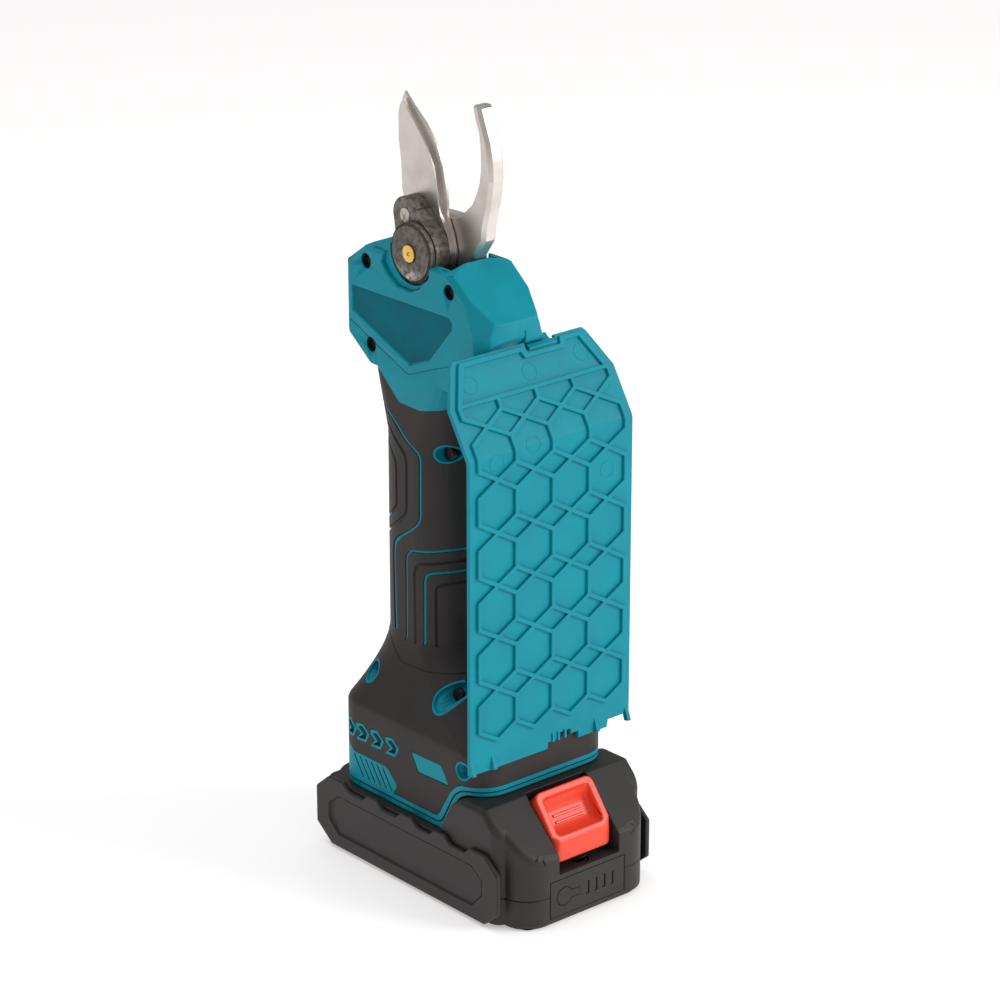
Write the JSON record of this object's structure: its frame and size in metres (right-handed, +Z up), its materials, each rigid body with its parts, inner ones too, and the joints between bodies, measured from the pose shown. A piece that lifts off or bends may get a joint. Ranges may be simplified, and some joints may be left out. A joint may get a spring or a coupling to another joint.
{
  "type": "cordless pruning shears",
  "caption": "Cordless bypass pruning shears with a hooked blade, geared head, rubber covered handle, clip-on hand guard and slide-on battery.",
  "frame": {"origin": "middle of the battery's flat bottom face, which the tool stands on", "axes": "+Z up along the handle to the blades, -Y to the front with the hand guard, trigger and release button, +X to the tool's left hand side as seen from the front"},
  "size_m": [0.0772, 0.1186, 0.2922],
  "materials": {
    "teal_plastic": "fine spark-eroded texture, slightly satin",
    "rubber": "matt overmoulded rubber with inlaid grooves",
    "black_plastic": "fine moulded texture",
    "red_plastic": "satin, with a scooped thumb grip",
    "blade_steel": "ground flats with a bright bevel",
    "dark_steel": "phosphated, with bright worn edges",
    "gear_steel": "machined",
    "motor_steel": "zinc plated can",
    "alloy": "die cast",
    "brass": "turned",
    "copper": "drawn and plated",
    "circuit_board": "solder resist",
    "cell_wrap": "shrink sleeve over a steel can",
    "led_window": "clear window, unlit"
  },
  "bodies": {
    "tool": {"housing_left": "teal_plastic", "housing_right": "teal_plastic", "grip_left": "rubber", "grip_right": "rubber", "fixed_blade": "blade_steel", "pivot_bolt": "dark_steel", "pivot_nut": "dark_steel", "grease_plug": "brass", "gear_frame": "alloy", "blade_screws": "dark_steel", "pinion_bearing": "gear_steel", "gear_case": "alloy", "motor": "motor_steel", "trigger_pin": "gear_steel", "trigger_spring": "gear_steel", "trigger_switch": "black_plastic", "control_board": "circuit_board", "power_leads": "copper", "terminal_block": "black_plastic", "housing_screws": "dark_steel"},
    "blade": {"moving_blade": "blade_steel", "sector_gear": "dark_steel", "drive_pin": "dark_steel"},
    "pinion_shaft": {"pinion": "gear_steel"},
    "planet_a": {"planet_1": "gear_steel"},
    "planet_b": {"planet_2": "gear_steel"},
    "planet_c": {"planet_3": "gear_steel"},
    "motor_rotor": {"rotor": "gear_steel"},
    "trigger_lever": {"trigger": "teal_plastic"},
    "guard": {"hand_guard": "teal_plastic"},
    "battery": {"battery_base": "black_plastic", "battery_cover": "black_plastic", "pad_left": "black_plastic", "pad_right": "black_plastic", "cells": "cell_wrap", "cell_holder": "black_plastic", "battery_board": "circuit_board", "battery_terminals": "copper", "battery_screws": "dark_steel", "release_spring": "gear_steel", "gauge_plate": "black_plastic", "gauge_leds": "led_window"},
    "latch_button": {"release_button": "red_plastic"},
    "charge_button": {"gauge_button": "black_plastic"}
  },
  "joints": [
    {"name": "blade_pivot", "type": "hinge", "parent": "tool", "child": "blade", "pos_m": [0, 0.0245, 0.2345], "axis": [1, 0, 0], "range_deg": [0, 38]},
    {"name": "pinion_spin", "type": "hinge", "parent": "tool", "child": "pinion_shaft", "pos_m": [0, 0.0245, 0.2], "axis": [0, 0, -1], "range_deg": [-1, 144]},
    {"name": "planet_a_spin", "type": "hinge", "parent": "pinion_shaft", "child": "planet_a", "pos_m": [0.00735, 0.0245, 0.167], "axis": [0, 0, -1], "range_deg": [-476, 1]},
    {"name": "planet_b_spin", "type": "hinge", "parent": "pinion_shaft", "child": "planet_b", "pos_m": [-0.00367, 0.03087, 0.167], "axis": [0, 0, -1], "range_deg": [-476, 1]},
    {"name": "planet_c_spin", "type": "hinge", "parent": "pinion_shaft", "child": "planet_c", "pos_m": [-0.00367, 0.01813, 0.167], "axis": [0, 0, -1], "range_deg": [-476, 1]},
    {"name": "rotor_spin", "type": "hinge", "parent": "tool", "child": "motor_rotor", "pos_m": [0, 0.0245, 0.14], "axis": [0, 0, -1], "range_deg": [-1, 500]},
    {"name": "trigger_pull", "type": "hinge", "parent": "tool", "child": "trigger_lever", "pos_m": [0, -0.006, 0.199], "axis": [1, 0, 0], "range_deg": [0, 9], "stiffness_Nm_per_rad": 0.6, "springref_deg": -9.74, "deforming": ["trigger_spring"]},
    {"name": "guard_swing", "type": "hinge", "parent": "tool", "child": "guard", "pos_m": [0.01, -0.0166, 0.2088], "axis": [-1, 0, 0], "range_deg": [0, 35]},
    {"name": "battery_slide", "type": "slide", "parent": "tool", "child": "battery", "axis": [0, -1, 0], "range_m": [0, 0.06]},
    {"name": "latch_press", "type": "slide", "parent": "battery", "child": "latch_button", "axis": [0, -0.6914, -0.7225], "range_m": [0, 0.0034], "stiffness_N_per_m": 1200, "springref_m": -0.002, "deforming": ["release_spring"]},
    {"name": "charge_press", "type": "slide", "parent": "battery", "child": "charge_button", "axis": [0, 1, 0], "range_m": [0, 0.0006], "stiffness_N_per_m": 1500, "springref_m": -0.0005}
  ],
  "couplings": [
    {"joint": "pinion_spin", "follows": "blade_pivot", "ratio": 3.75},
    {"joint": "planet_a_spin", "follows": "blade_pivot", "ratio": -12.5},
    {"joint": "planet_b_spin", "follows": "blade_pivot", "ratio": -12.5},
    {"joint": "planet_c_spin", "follows": "blade_pivot", "ratio": -12.5},
    {"joint": "rotor_spin", "follows": "blade_pivot", "ratio": 13.125}
  ]
}
